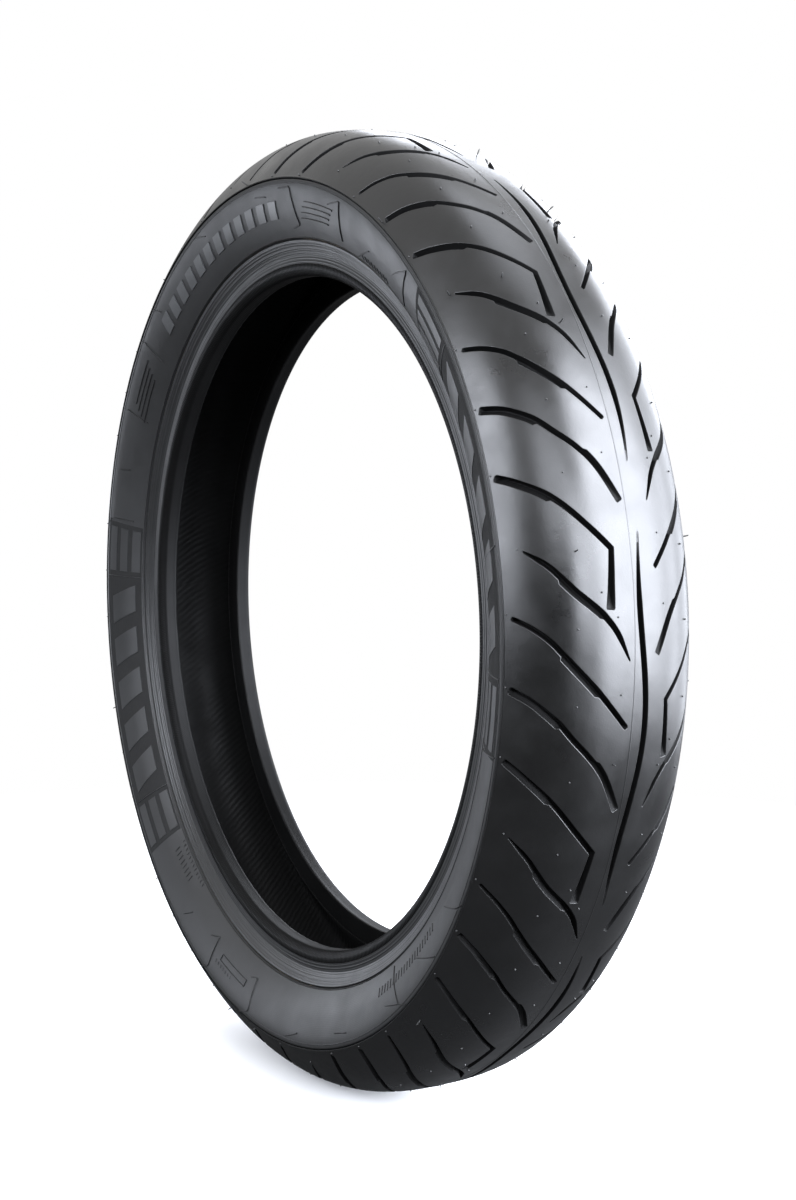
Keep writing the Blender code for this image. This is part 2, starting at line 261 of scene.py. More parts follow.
def near_grooves():
    """The four shoulder grooves of one pitch, outer end first."""
    deep = FULL_DEPTH
    hook = sweep(
        [(-72, 19.1), (-60, 17.9), (-43, 15.8), (-25, 12.6), (-13.2, 10.5), (-16.3, 4.75)],
        [(0, 1.6, 2.6, 2.0, deep), (1.93, 1.7, 3.2, 2.0, deep), (2.02, 1.6, 1.5, 0, deep),
         (4, 1.6, 1.6, 0, deep), (4.6, 2.2, 1.9, 0, deep), (4.8, 2.6, 2.1, 0, deep * 0.75),
         (5, 2.9, 2.3, 0, 1.0)],
        corner=4, rounding=(1.6, 1.0))
    blade = sweep(
        [(-62, 10.9), (-50, 9.3), (-43, 8.0), (-35, 6.5), (-25, 5.0), (-20, 4.2), (-12, 2.5),
         (-4, -0.2)],
        [(0, 0.4, 0.4, 0, deep), (0.7, 1.5, 1.4, 0, deep), (2.0, 1.7, 1.6, 0, deep),
         (2.16, 1.7, 3.0, 1.5, deep), (4.9, 1.7, 2.9, 1.5, deep), (5.1, 1.7, 1.7, 0, deep),
         (6.2, 1.5, 1.5, 0, deep), (7, 0.3, 0.3, 0, deep)],
        rounding=(0.4, 0.4))
    finger = sweep(
        [(-71, 4.2), (-60, 3.2), (-50, 1.9), (-43, 0.6), (-35, -0.9), (-25, -2.7), (-15, -4.6),
         (-4, -6.7)],
        [(0, 1.3, 1.3, 0, deep), (2, 1.5, 1.5, 0, deep), (3.0, 1.5, 1.5, 0, deep),
         (3.12, 1.6, 3.1, 1.7, deep), (5.2, 1.6, 3.1, 1.7, deep), (5.34, 1.6, 1.5, 0, deep),
         (7, 1.4, 1.4, 0, deep)],
        rounding=(1.3, 1.2))
    paddle = sweep(
        [(-72, -3.2), (-60, -4.1), (-50, -5.3), (-43, -6.3), (-35, -7.8), (-25, -9.5), (-15, -11.6),
         (-4, -15.0)],
        [(0, 1.7, 3.0, 2.0, deep), (2.95, 1.7, 3.2, 2.0, deep), (3.1, 1.6, 1.5, 0, deep),
         (5.25, 1.6, 1.5, 0, deep), (5.4, 2.7, 1.5, 0, deep), (6.3, 2.5, 1.8, 0, deep * 0.8),
         (7, 2.2, 1.9, 0, 1.2)],
        rounding=(1.4, 1.2))
    return [hook, blade, finger, paddle]


WAVE_COUNT = 8
WAVE_START = -7.0
WAVE_REACH = 19
WAVE_SWING = 2.6
WAVE_LENGTH = 26.0
PATTERN_CENTRE = 5.6


def wave(number):
    """One wavy groove of the middle, with run-out ends."""
    middle = WAVE_START + number * 360 / WAVE_COUNT
    sign = 1 if number % 2 == 0 else -1
    path = []
    for turn in range(-WAVE_REACH, WAVE_REACH + 1):
        swing = WAVE_SWING * sign * math.cos(math.radians(360 / WAVE_LENGTH * turn))
        path.append((PATTERN_CENTRE + swing, middle + turn))
    last = len(path) - 1
    table = [(0, 0.35, 0.35, 0, 1.0), (7, 1.75, 1.75, 0, FULL_DEPTH),
             (last - 7, 1.75, 1.75, 0, FULL_DEPTH), (last, 0.35, 0.35, 0, 1.0)]
    return sweep(path, table, rounding=(0.35, 0.35))


# ---------------------------------------------------------------- land between the grooves

LAND_STEP = 4.5            # between the land's points, which lie in a triangular grid
SEAM_DEGREES = 0.5
PATTERN_EDGE = HALF_ARC - 3.2   # where the plain band at the shoulder begins
NEAR_EDGE = -1.0           # where the near pattern meets the middle band
BAND_START = 0.0
BAND_END = 12.2            # where the middle band meets the far pattern
TILE = 30.0
TILE_COUNT = round(360 / TILE)
# Boundary between one pitch's last groove and the next pitch's first
TILE_SIDE = [(-PATTERN_EDGE, -7.0), (-60, -8.3), (-43, -10.3), (-25, -13.4), (-15, -15.3),
             (-8, -17.4), (-4, -19.4), (NEAR_EDGE, -21.0)]


def even_points(path, step):
    """Points at even spacing along a polyline, both ends kept."""
    line = np.array(path, float)
    length = running_length(line)
    count = max(1, round(length[-1] / step))
    return [tuple(p) for p in read_at(np.linspace(0, length[-1], count + 1), length, line)]


def grid_loop(rows):
    """The grid's boundary as a list of (row, column)."""
    n, m = len(rows), len(rows[0])
    loop = [(i, 0) for i in range(n)] + [(n - 1, j) for j in range(1, m)]
    return loop + [(i, m - 1) for i in range(n - 2, -1, -1)] + [(0, j) for j in range(m - 2, 0, -1)]


def tile_mesh(outline, grooves):
    """Points (s, turn, depth) and faces of a piece of tread with its grooves cut in."""
    points = [(s, turn, 0.0) for s, turn in outline]
    loops = [list(range(len(outline)))]
    holes = []
    for rows in grooves:
        start = len(points)
        loop = grid_loop(rows)[::-1]
        points += [rows[i][j] for i, j in loop]
        loops.append(list(range(start, len(points))))
        holes.append({place: start + k for k, place in enumerate(loop)})
    plan = np.array(points)[:, :2] * (1, MM_PER_DEGREE)
    low, high = plan.min(0), plan.max(0)
    extra = []
    for k, v in enumerate(np.arange(low[1] + LAND_STEP / 2, high[1], LAND_STEP * 0.87)):
        for u in np.arange(low[0] + (0 if k % 2 else LAND_STEP / 2), high[0], LAND_STEP):
            if np.min(np.abs(plan - (u, v)).max(1)) > LAND_STEP * 0.45:
                extra.append((u, v))
    middle = (low + high) / 2
    verts = [Vector(p - middle) for p in plan] + [Vector(p - middle) for p in np.array(extra)]
    made, _, faces, origin, _, sources = delaunay_2d_cdt(verts, [], loops, 1, 1e-5)
    place = []
    for k, spot in enumerate(made):
        mine = [o for o in origin[k] if o < len(points)]
        if mine:
            place.append(points[mine[0]])
        else:
            place.append((spot[0] + middle[0], (spot[1] + middle[1]) / MM_PER_DEGREE, 0.0))
    where = {o: k for k, names in enumerate(origin) for o in names}
    cells = [tuple(f) for f, src in zip(faces, sources) if list(src) == [0]]
    for rows, hole in zip(grooves, holes):
        index = {}
        for i, row in enumerate(rows):
            for j, spot in enumerate(row):
                if (i, j) in hole:
                    index[i, j] = where[hole[i, j]]
                else:
                    index[i, j] = len(place)
                    place.append(spot)
        for i in range(len(rows) - 1):
            for j in range(len(rows[0]) - 1):
                cells.append((index[i, j], index[i, j + 1], index[i + 1, j + 1], index[i + 1, j]))
    return np.array(place), cells


def seam(s, start, end):
    """Points along a seam of constant s, forwards or backwards, end left out."""
    count = round(abs(end - start) / SEAM_DEGREES)
    step = math.copysign(SEAM_DEGREES, end - start)
    return [(s, start + k * step) for k in range(count)]


def near_tile():
    side = even_points(TILE_SIDE, 3.5)
    outline = side[:-1]
    outline += seam(NEAR_EDGE, side[-1][1], side[-1][1] + TILE)
    outline += [(s, turn + TILE) for s, turn in side[::-1]][:-1]
    outline += seam(-PATTERN_EDGE, side[0][1] + TILE, side[0][1])
    return tile_mesh(outline, near_grooves())


FAR_TURN = -14.7
FAR_SQUEEZE = (PATTERN_EDGE - BAND_END) / (PATTERN_EDGE + NEAR_EDGE)


def far_plan(plan):
    """The near pattern laid on the far side, mirrored."""
    out = plan.copy()
    out[:, 0] = BAND_END + (NEAR_EDGE - plan[:, 0]) * FAR_SQUEEZE
    out[:, 1] = plan[:, 1] + FAR_TURN
    return out


def band_tile():
    """The middle band over two wavy grooves."""
    width = 720 / WAVE_COUNT
    start = WAVE_START - 180 / WAVE_COUNT
    slip = FAR_TURN % SEAM_DEGREES
    side = even_points([(BAND_START, start), (BAND_END, start + slip)], 3.0)
    outline = side[:-1] + seam(BAND_END, side[-1][1], side[-1][1] + width)
    outline += [(s, turn + width) for s, turn in side[:0:-1]]
    outline += seam(BAND_START, start + width, start)
    return tile_mesh(outline, [wave(0), wave(1)])


# Rows of the raised mould line, as (s, depth)
RIDGE = [(NEAR_EDGE, 0.0), (-0.72, -0.03), (-0.5, -0.22), (-0.28, -0.03), (BAND_START, 0.0)]
# Rows over the rounded shoulder with its small bead and in under the tread, as (s, depth)
SHOULDER = [(-PATTERN_EDGE, 0.0), (-HALF_ARC + 1.3, 0.0), (-HALF_ARC + 1.05, -0.02),
            (-HALF_ARC + 0.85, -0.12), (-HALF_ARC + 0.65, -0.12), (-HALF_ARC + 0.45, 0.0),
            (-HALF_ARC + 0.15, 0.12), (-HALF_ARC, 0.4), (-HALF_ARC, 1.0), (-HALF_ARC + 0.9, 2.6)]
INNER_DEPTH = 5.55         # of the tread's underside, under every groove
INNER_EDGE = HALF_ARC - 3.5
INNER_ROWS = 40


def rows_mesh(rows):
    """A band of quads through rows of (s, turn, depth) that go right round."""
    count = len(rows[0])
    cells = []
    for i in range(len(rows) - 1):
        for j in range(count):
            k = (j + 1) % count
            cells.append((i * count + j, i * count + k, (i + 1) * count + k, (i + 1) * count + j))
    return np.array([spot for row in rows for spot in row], float), cells


def turned_row(s, depth, slip=0.0):
    columns = round(360 / SEAM_DEGREES)
    return [(s, k * SEAM_DEGREES + slip, depth) for k in range(columns)]


def tread_pieces():
    near_points, near_cells = near_tile()
    far_points = far_plan(near_points)
    for k in range(TILE_COUNT):
        yield near_points + (0, TILE * k, 0), near_cells
        yield far_points + (0, TILE * k, 0), near_cells
    band_points, band_cells = band_tile()
    for k in range(0, WAVE_COUNT, 2):
        yield band_points + (0, k * 360 / WAVE_COUNT, 0), band_cells
    yield rows_mesh([turned_row(s, depth) for s, depth in RIDGE])
    inner = [turned_row(s, depth) for s, depth in SHOULDER]
    inner += [turned_row(s, INNER_DEPTH) for s in np.linspace(-INNER_EDGE, INNER_EDGE, INNER_ROWS)]
    inner += [turned_row(-s, depth, FAR_TURN % SEAM_DEGREES) for s, depth in SHOULDER[::-1]]
    yield rows_mesh(inner)


WELD = 0.004               # distance under which two vertices are one
GROOVE_DEPTHS = (0.1, 0.4)  # least depths of a groove face's highest and lowest corners


def values_of(items, name, width=1):
    """One property of every item, as an array with a row for each when width is more than 1."""
    values = np.zeros(len(items) * width)
    items.foreach_get(name, values)
    return values.reshape(-1, width) if width > 1 else values


def smooth_mesh(bm, name, crease=None):
    """The finished mesh of bm, smooth but for edges sharper than crease degrees."""
    bmesh.ops.recalc_face_normals(bm, faces=bm.faces)
    mesh = bpy.data.meshes.new(name)
    bm.to_mesh(mesh)
    bm.free()
    mesh.shade_smooth()
    if crease is not None:
        mesh.set_sharp_from_angle(angle=math.radians(crease))
    return mesh


def build_tread():
    bm = bmesh.new()
    layer = bm.verts.layers.float.new("depth")
    for plan, cells in tread_pieces():
        points, _ = on_crown(plan)
        verts = [bm.verts.new(p) for p in points]
        for vert, depth in zip(verts, plan[:, 2]):
            vert[layer] = depth
        for cell in cells:
            bm.faces.new([verts[i] for i in cell])
    bmesh.ops.remove_doubles(bm, verts=bm.verts, dist=WELD * MM)
    loose = [v for v in bm.verts if not v.link_faces]
    bmesh.ops.delete(bm, geom=loose, context="VERTS")
    mesh = smooth_mesh(bm, "tread_smooth")
    keep_land_smooth(mesh)
    add_piece(mesh, material_tread(), ("tread_cap",))
    mesh.materials.append(material_groove())
    depth = values_of(mesh.attributes["depth"].data, "value")
    for face in mesh.polygons:
        corners = [depth[v] for v in face.vertices]
        if min(corners) > GROOVE_DEPTHS[0] and max(corners) > GROOVE_DEPTHS[1]:
            face.material_index = 1


def keep_land_smooth(mesh):
    """Normals of the crown's own curve on the land, so that only groove edges catch the light."""
    x, y, z = values_of(mesh.vertices, "co", 3).T / MM
    normals = values_of(mesh.vertex_normals, "vector", 3)
    ny, nr = crown_normal(y)
    crown = np.stack([x / np.hypot(x, z) * nr, ny, z / np.hypot(x, z) * nr], 1)
    land = values_of(mesh.attributes["depth"].data, "value") == 0
    normals[land] = crown[land]
    mesh.normals_split_custom_set_from_vertices([tuple(n) for n in normals])


# ---------------------------------------------------------------- turned pieces

def add_piece(mesh, material, replaced=()):
    mesh.materials.append(material)
    obj = bpy.data.objects.new(mesh.name, mesh)
    bpy.context.scene.collection.objects.link(obj)
    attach(obj, "root")
    if replaced:
        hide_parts(*replaced)


def curve_through(points, per_span):
    """A smooth line through (y, r) points."""
    pts = [np.array(p, float) for p in points]
    line = []
    for i in range(len(pts) - 1):
        line += [catmull(pts, i + j / per_span) for j in range(per_span)]
    return line + [pts[-1]]


def normals_of(line):
    """Left-hand normals along a line."""
    tangent = np.gradient(np.array(line), axis=0)
    tangent /= np.linalg.norm(tangent, axis=1)[:, None]
    return np.stack([-tangent[:, 1], tangent[:, 0]], 1)


def turned(name, outline, flip=False):
    """A closed outline of (y, r) turned about the axle. flip mirrors it to the -Y side."""
    bm = bmesh.new()
    line = np.array(outline, float) * MM
    if flip:
        line = (line * (-1, 1))[::-1]
    angles = np.arange(COLUMNS) * 2 * math.pi / COLUMNS
    loops = [[bm.verts.new((r * math.cos(a), y, r * math.sin(a))) for y, r in line] for a in angles]
    for here, there in zip(loops, loops[1:] + loops[:1]):
        for j in range(len(line)):
            k = (j + 1) % len(line)
            bm.faces.new((here[j], here[k], there[k], there[j]))
    return smooth_mesh(bm, name, crease=38)


def skin(name, outer, thickness, flip=False):
    """A turned shell from a line to the same line moved in by thickness, or out if it is negative."""
    inner = outer + normals_of(outer) * -thickness
    return turned(name, list(outer) + list(inner[::-1]), flip=flip)


# Sidewall's outer line from the shoulder joint down to the rim line, +Y side
WALL_LINE = [(61.0, 289.75), (61.9, 289.3), (62.15, 288.2), (61.7, 285.2), (60.5, 281.0), (58.0, 274.4),
             (54.9, 267.5), (50.3, 259.5), (46.4, 253.6)]
WALL_FOOT = [(46.05, 253.1), (45.5, 252.85), (44.7, 252.6)]
WALL_DEPTH = 1.3


def wall_surface():
    return np.array(curve_through(WALL_LINE, 6))


def build_sidewall(side, flip):
    mesh = skin("sidewall_skin_" + side, np.concatenate([wall_surface(), WALL_FOOT]), WALL_DEPTH, flip)
    add_piece(mesh, material_sidewall(), ("sidewall_" + side,))


RIM_BAND = [(44.6, 252.3), (45.0, 251.6), (44.6, 250.6), (43.2, 248.3), (41.5, 245.5), (40.45, 243.6),
            (BEAD_FACE_Y, 242.4), (BEAD_FACE_Y, 239.0), (BEAD_FACE_Y, 237.0)]
FINE_RIDGES = 9
FINE_RIDGE_HEIGHT = 0.10
FINE_RINGS = ((246.5, 0.22), (240.5, 0.18))   # radius and height
FINE_RING_HALF = 0.45
RIM_STRIP_DEPTH = 0.95
SEAT_DEPTH = 0.8


def rim_band_line():
    """The band that meets the rim flange, with fine ridges and two rings round it."""
    line = np.array(curve_through(RIM_BAND, 14))
    side = normals_of(line)
    length = running_length(line)
    share = length / length[-1]
    wave_height = np.clip(np.sin(share * FINE_RIDGES * 2 * math.pi), 0, 1) ** 1.5
    fade = np.clip(share / 0.1, 0, 1) * np.clip((1 - share) / 0.1, 0, 1)
    lift = wave_height * fade * FINE_RIDGE_HEIGHT
    for radius, height in FINE_RINGS:
        lift = np.maximum(lift, height * np.clip(1 - np.abs(line[:, 1] - radius) / FINE_RING_HALF, 0, 1))
    return line + side * lift[:, None]


def build_rim_strip(side, flip):
    coarse = np.array(curve_through(RIM_BAND, 4))
    inner = coarse + normals_of(coarse) * -RIM_STRIP_DEPTH
    mesh = turned("rim_strip_skin_" + side, list(rim_band_line()) + list(inner[::-1]), flip)
    add_piece(mesh, material_bead(), ("rim_strip_" + side,))


# Bead seat from under the flange face, round the heel and toe and up the inside
SEAT_LINE = [(BEAD_FACE_Y - 0.1, 236.9), (BEAD_FACE_Y, 236.4), (BEAD_FACE_Y, 235.0), (39.6, 233.3),
             (38.4, 231.3), (37.1, 229.7), (35.6, BEAD_BASE_RADIUS), (33.5, BEAD_BASE_RADIUS - 0.05),
             (30.0, BEAD_BASE_RADIUS), (28.0, BEAD_BASE_RADIUS - 0.1),
             (BEAD_TOE_Y, BEAD_BASE_RADIUS + 0.35), (26.85, 229.8), (26.75, 232.0), (26.6, 238.0),
             (26.5, 243.0)]
TOE_FLASH = 0.28
TOE_WAVES = (31, 47, 83, 113, 151)   # round the toe


def ragged_toe(mesh):
    """The thin uneven flash that a mould leaves round the toe."""
    spots = values_of(mesh.vertices, "co", 3)
    r, turn = np.hypot(spots[:, 0], spots[:, 2]) / MM, np.arctan2(spots[:, 2], spots[:, 0])
    y = np.abs(spots[:, 1]) / MM
    toe = (y < BEAD_TOE_Y + 0.3) & (r < BEAD_BASE_RADIUS + 0.7)
    waves = sum(np.sin(turn * rate + rate * rate) for rate in TOE_WAVES)
    drop = TOE_FLASH * np.clip(waves / 2.2, -0.6, 1.4) * toe
    spots[:, (0, 2)] *= (1 - drop / r)[:, None]
    mesh.vertices.foreach_set("co", spots.ravel())
    mesh.update()


def build_seat(side, flip):
    mesh = skin("bead_seat_" + side, np.array(curve_through(SEAT_LINE, 4)), SEAT_DEPTH, flip)
    ragged_toe(mesh)
    add_piece(mesh, material_seat(), ("chafer_" + side,))


# Inside of the air chamber, from the crown down to the bead, +Y side
LINER_LINE = [(0.0, 309.3), (9.5, 309.3), (24.0, 306.8), (34.6, 300.9), (43.0, 291.6), (47.2, 285.6),
              (50.5, 280.3), (50.3, 276.6), (47.6, 269.6), (43.0, 263.2), (37.2, 257.0), (31.4, 250.1),
              (27.2, 245.2), (26.4, 243.4)]
LINER_DEPTH = 1.1


def build_liner():
    half = curve_through(LINER_LINE, 3)
    line = np.array([p * (-1, 1) for p in half[:0:-1]] + half)
    mesh = skin("air_chamber_liner", line, -LINER_DEPTH)
    add_piece(mesh, material_liner(), ("inner_liner",))


# ---------------------------------------------------------------- moulded marks on the sidewalls

def wall_at(r):
    """y and the outward normal (ny, nr) of the +Y sidewall at radii r."""
    line = wall_surface()
    rising_y, rising_r = line[np.argmax(line[:, 0]):][::-1].T
    above, y, below = (np.interp(r + step, rising_r, rising_y) for step in (0.5, 0.0, -0.5))
    slope = above - below
    size = np.hypot(slope, 1)
    return y, 1 / size, -slope / size


def on_wall(spots, side):
    """World points of (r, turn, height) on a sidewall; side is 1 for +Y and -1 for -Y."""
    spots = np.array(spots, float)
    r, turn, height = spots[:, 0], np.radians(spots[:, 1]), spots[:, 2]
    y, ny, nr = wall_at(r)
    y = (y + height * ny) * side
    r = r + height * nr
    return np.stack([r * np.cos(turn), y, r * np.sin(turn)], 1) * MM


RIB_STEP = 2.0
BLOCK_STEP = 2.4
BLOCK_COLUMNS = 1.5        # to a degree
BLOCK_FLARE = 0.25         # of a block's foot
WALL_DEGREES = 0.2         # to a millimetre round the wall
SUNK = 0.4                 # how far a mark's foot goes into the wall
UNDERSIDE = 0.5


def rib(bm, path, width, height, side):
    """A thin raised line along (r, turn) points on a sidewall."""
    line = np.array(path, float)
    mean = line[:, 0].mean()
    flat = np.stack([line[:, 0], np.radians(line[:, 1]) * mean], 1)
    length = running_length(flat)
    count = max(2, int(length[-1] / RIB_STEP))
    flat = read_at(np.linspace(0, length[-1], count + 1), length, flat)
    normal = normals_of(flat)
    half = width / 2
    profile = [(-half - 0.1, -SUNK), (-half, height * 0.6), (-half + 0.15, height),
               (half - 0.15, height), (half, height * 0.6), (half + 0.1, -SUNK)]
    rings = []
    for across, up in profile:
        spots = flat + normal * across
        rings.append(on_wall(np.stack([spots[:, 0], np.degrees(spots[:, 1] / mean),
                                       np.full(len(spots), up)], 1), side))
    verts = [[bm.verts.new(p) for p in ring] for ring in rings]
    for here, there in zip(verts, verts[1:] + verts[:1]):
        for j in range(len(here) - 1):
            bm.faces.new((here[j], there[j], there[j + 1], here[j + 1]))
    bm.faces.new([row[0] for row in verts])
    bm.faces.new([row[-1] for row in verts][::-1])


def block(bm, r0, r1, turn0, turn1, slant, height, side):
    """A raised slanted block between two radii and two angles."""
    rows = max(4, int((r1 - r0) / BLOCK_STEP))
    columns = max(4, int(abs(turn1 - turn0) * BLOCK_COLUMNS))
    spots = []
    for i in range(rows + 2):
        for j in range(columns + 2):
            edge = i in (0, rows + 1) or j in (0, columns + 1)
            u = min(max((i - 1) / (rows - 1), 0), 1)
            v = min(max((j - 1) / (columns - 1), 0), 1)
            flare = BLOCK_FLARE if edge else 0.0
            r = r0 + (r1 - r0) * u + flare * (1 if i == rows + 1 else -1 if i == 0 else 0)
            turn = turn0 + (turn1 - turn0) * v + slant * u
            turn += flare * WALL_DEGREES * (1 if j == columns + 1 else -1 if j == 0 else 0)
            spots.append((r, turn, -SUNK if edge else height))
    wide = columns + 2
    under = [(r, turn, -UNDERSIDE) for r, turn, _ in spots]
    top = [bm.verts.new(p) for p in on_wall(spots, side)]
    bottom = [bm.verts.new(p) for p in on_wall(under, side)]
    last = (rows + 1) * wide
    loop = [*range(wide), *range(2 * wide - 1, last + wide, wide)]
    loop += [*range(last + wide - 2, last - 1, -1), *range(last - wide, 0, -wide)]
    for i in range(rows + 1):
        for j in range(wide - 1):
            a = i * wide + j
            bm.faces.new((top[a], top[a + 1], top[a + wide + 1], top[a + wide]))
            bm.faces.new((bottom[a + wide], bottom[a + wide + 1], bottom[a + 1], bottom[a]))
    for here, there in zip(loop, loop[1:] + loop[:1]):
        bm.faces.new((top[there], top[here], bottom[here], bottom[there]))


def arc_path(r, start, end):
    count = max(2, int(abs(end - start)))
    return [(r, start + (end - start) * k / count) for k in range(count + 1)]


# Thin mould-joint lines of one sidewall, as (r, turn) points
JOINT_LINES = [
    [(289, 169), (284.5, 168), (262, 167.6)],
    [(288, 149.5), (283, 149), (262, 149)],
    [(289, 137), (284.5, 136.3), (263, 136.6)],
    [(289, 130.5), (280, 129)],
    [(280, 159.5), (270.5, 158.8)],
    [(286, 112), (281, 109.4)],
    [(281.5, 92.5), (280, 89.5)],
    [(284, 85.2), (284.8, 82), (261, 82.2), (259, 84.5)],
    [(279, 71.5), (284.5, 68), (258.5, 69.6)],
    [(266, 60.5), (255, 65.2)],
    [(269, 53), (284.5, 48.8), (255, 50.5)],
    [(290, 261.8), (284.5, 264.4), (263, 263.4), (265, 261.8)],
    [(290, 248.8), (284.5, 250.4), (263.5, 249.4), (268, 247.4)],
    [(281.5, 294), (280, 290.5)],
    [(281.5, 279.5), (285.5, 276.2)],
    [(289, 311.2), (284.5, 309.4), (278.5, 305.6)],
    [(284.5, 309.4), (257, 307)],
    [(289, 330.3), (284.5, 328.9), (270, 326)],
    [(286, 321), (270, 315.6)],
    [(279, 239.2), (272, 240.6)],
    [(288, 12), (262, 11)],
    [(288, 349), (262, 348)],
]
# Groups of four parallel lines: each line's radius and shift, and each group's first and last turn
SPEED_LINES = [(276, 0.0), (272.4, 0.9), (268.8, 1.6), (265.2, 2.3)]
SPEED_SPANS = [(138.5, 147.0), (70.5, 78.5)]
# Rows of short ticks, as (first turn, last turn, low r, high r)
TICK_ROWS = [(228, 239, 254.6, 256.6), (228.5, 236, 259.5, 264), (56, 64.5, 255, 258.5),
             (303, 322, 264, 269.5), (251.5, 257.5, 275.2, 277.4)]
TICK_PITCH = 0.9
BOX = [(269, 252.5), (269, 261), (273.4, 261), (273.4, 252.5), (269, 252.5)]
RING_RADII = (286.9, 253.4)
# The row of bars high on the sidewall
ROW_BARS = 12
ROW_START = 88.0
ROW_PITCH = 3.7
ROW_WIDTH = 2.2
ROW_RADII = (265.5, 276.5)
PANEL_SPAN = 57.0
PANEL_STARTS = (168.5, 348.5)
PANEL_RADII = (254.2, 286.2)
PANEL_BARS = 5
PANEL_BAR_START = 10.6     # from the panel's first edge
PANEL_BAR_PITCH = 7.3
PANEL_BAR_WIDTH = 4.6
PANEL_BAR_RADII = (259.0, 281.0)
STRIPE_INSET = 0.8
STRIPE_LENGTH = 7.4
STRIPE_PITCH = 11
STRIPE_HEIGHTS = (1, 8)    # of the first stripe's edges over the panel's low edge


def panel_bars(bm, start, side):
    """Slanted bars and end stripes standing on one matt panel."""
    for k in range(PANEL_BARS):
        turn = start + PANEL_BAR_START + k * PANEL_BAR_PITCH
        block(bm, *PANEL_BAR_RADII, turn, turn + PANEL_BAR_WIDTH, 2.0, 0.5, side)
    for flip, base in ((1, start + STRIPE_INSET), (-1, start + PANEL_SPAN - STRIPE_INSET)):
        for k in range(3):
            low, high = (PANEL_RADII[0] + height + k * STRIPE_PITCH for height in STRIPE_HEIGHTS)
            block(bm, low, high, base, base + flip * STRIPE_LENGTH, 0.0, 0.45, side)
        rib(bm, [(r, base + flip * (STRIPE_LENGTH + 0.9)) for r in PANEL_RADII], 0.6, 0.55, side)


def build_marks(side_name, side):
    """Generic moulding: a row of bars, and joint lines, short parallel lines, rings and ticks."""
    bm = bmesh.new()
    for k in range(ROW_BARS):
        turn = ROW_START + k * ROW_PITCH
        block(bm, *ROW_RADII, turn, turn + ROW_WIDTH, -0.9, 0.6, side)
    marks_piece(bm, "mould_bars_" + side_name, material_marks())
    bm = bmesh.new()
    for path in JOINT_LINES:
        rib(bm, path, 0.7, 0.6, side)
    for first, last in SPEED_SPANS:
        for r, shift in SPEED_LINES:
            rib(bm, arc_path(r, first + shift, last + shift), 0.9, 0.6, side)
    for first, last, low, high in TICK_ROWS:
        count = round((last - first) / TICK_PITCH)
        for k in range(count):
            turn = first + (last - first) * k / count
            rib(bm, [(low, turn), (high, turn + 0.2)], 0.8, 0.45, side)
    for here, there in zip(BOX, BOX[1:]):
        rib(bm, [here, there], 0.6, 0.5, side)
    for r in RING_RADII:
        for start in (0, 90, 180, 270):
            rib(bm, arc_path(r, start, start + 90), 0.5, 0.25, side)
    # Painted shade: these lines take a colour darker than the sidewall, standing for the small shadows
    # beside the raised joint and speed lines; the ticks, box and rings share it.
    marks_piece(bm, "mould_lines_" + side_name, material_lines_painted_shade())


def build_panels(side_name, side):
    """The matt panels and the bars that stand on them."""
    bm = bmesh.new()
    for start in PANEL_STARTS:
        block(bm, *PANEL_RADII, start, start + PANEL_SPAN, 0.0, 0.14, side)
    marks_piece(bm, "matt_panels_" + side_name, material_panel())
    bm = bmesh.new()
    for start in PANEL_STARTS:
        panel_bars(bm, start, side)
    marks_piece(bm, "panel_bars_" + side_name, material_bars())


def marks_piece(bm, name, material):
    add_piece(smooth_mesh(bm, name, crease=40), material)


# ---------------------------------------------------------------- vent stubs

STUB_SIDES = 8
LONG_STUB_SHARE = 0.12
NEAR_STUBS = [(-35, 3.0), (-35, -4.4), (-35, -11.9), (-34, 10.4), (-74.2, 19.4), (-65, 11.2), (-74, 4.6),
              (-74.2, -3.0), (-21, 6.4), (-11.5, 4.0), (-9.0, -3.4), (-10.0, -10.2)]


def stub(bm, point, normal, radius, height, lean):
    """A small moulding stub with a domed end, leaning a little."""
    up = Vector(normal).normalized()
    across = up.orthogonal().normalized()
    along = up.cross(across)
    profile = [(1.25, -0.3), (1.0, 0.15), (0.95, height * 0.7), (0.7, height * 0.95), (0.25, height * 1.02)]
    rings = []
    for scale, level in profile:
        ring = []
        bend = (max(level, 0) / max(height, 0.1)) ** 2 * lean
        for k in range(STUB_SIDES):
            a = k * 2 * math.pi / STUB_SIDES
            spot = Vector(point) + (up * level + across * (radius * scale * math.cos(a) + bend)
                                    + along * radius * scale * math.sin(a)) * MM
            ring.append(bm.verts.new(spot))
        rings.append(ring)
    for low, high in zip(rings, rings[1:]):
        for k in range(STUB_SIDES):
            after = (k + 1) % STUB_SIDES
            bm.faces.new((low[k], low[after], high[after], high[k]))
    bm.faces.new(rings[0][::-1])
    bm.faces.new(rings[-1])


def build_stubs():
    bm = bmesh.new()
    rng = np.random.default_rng(7)
    near = np.array([(s, turn + TILE * k, 0.0) for k in range(TILE_COUNT) for s, turn in NEAR_STUBS])
    for places in (near, far_plan(near)):
        points, normals = on_crown(places)
        for p, n in zip(points, normals):
            long_one = rng.random() < LONG_STUB_SHARE
            height = rng.uniform(2.0, 4.5) if long_one else rng.uniform(0.5, 1.0)
            stub(bm, p, n, 0.42 if long_one else 0.5, height, rng.uniform(-1, 1) if long_one else 0.0)
    add_piece(smooth_mesh(bm, "vent_stubs"), material_stubs())


# ---------------------------------------------------------------- materials

